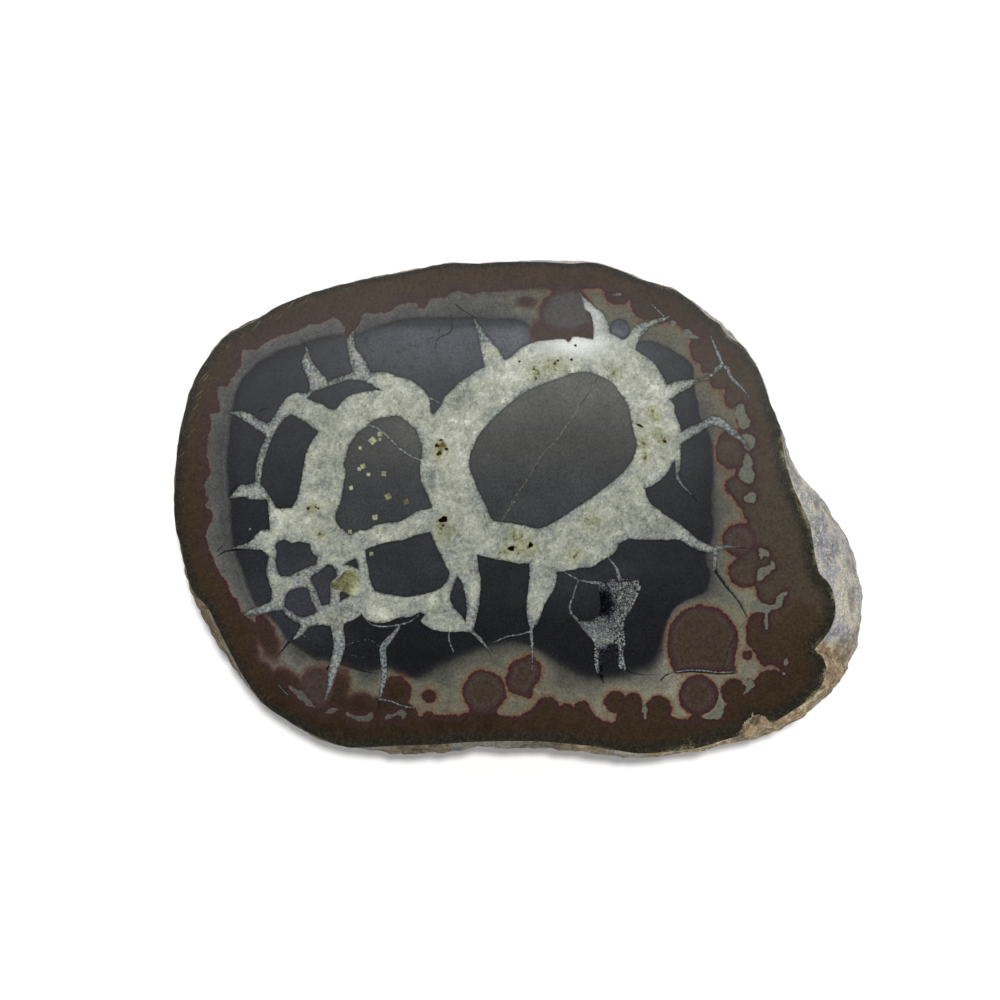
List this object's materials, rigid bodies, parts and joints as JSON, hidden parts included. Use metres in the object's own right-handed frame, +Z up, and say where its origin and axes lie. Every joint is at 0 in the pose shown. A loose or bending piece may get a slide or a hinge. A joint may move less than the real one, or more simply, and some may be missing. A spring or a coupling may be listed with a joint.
{
  "type": "septarian nodule half",
  "caption": "Polished half of a septarian nodule: flat face with calcite veins in dark marl, a siderite rim and an open crystal pocket, domed weathered rind below, rests on a small flat spot.",
  "frame": {"origin": "middle of the bounding box in X and Y, at the height of the spot that it rests on", "axes": "+X along the long way of the polished face, +Y across it, +Z up out of the polished face"},
  "size_m": [0.1384, 0.1, 0.042],
  "materials": {
    "polished_concretion": "polished on the cut face, rough weathered rind elsewhere",
    "calcite_crystal": "small sharp crystals, glassy"
  },
  "bodies": {
    "root": {"septarian_nodule": "polished_concretion", "calcite_druse": "calcite_crystal"}
  },
  "joints": []
}
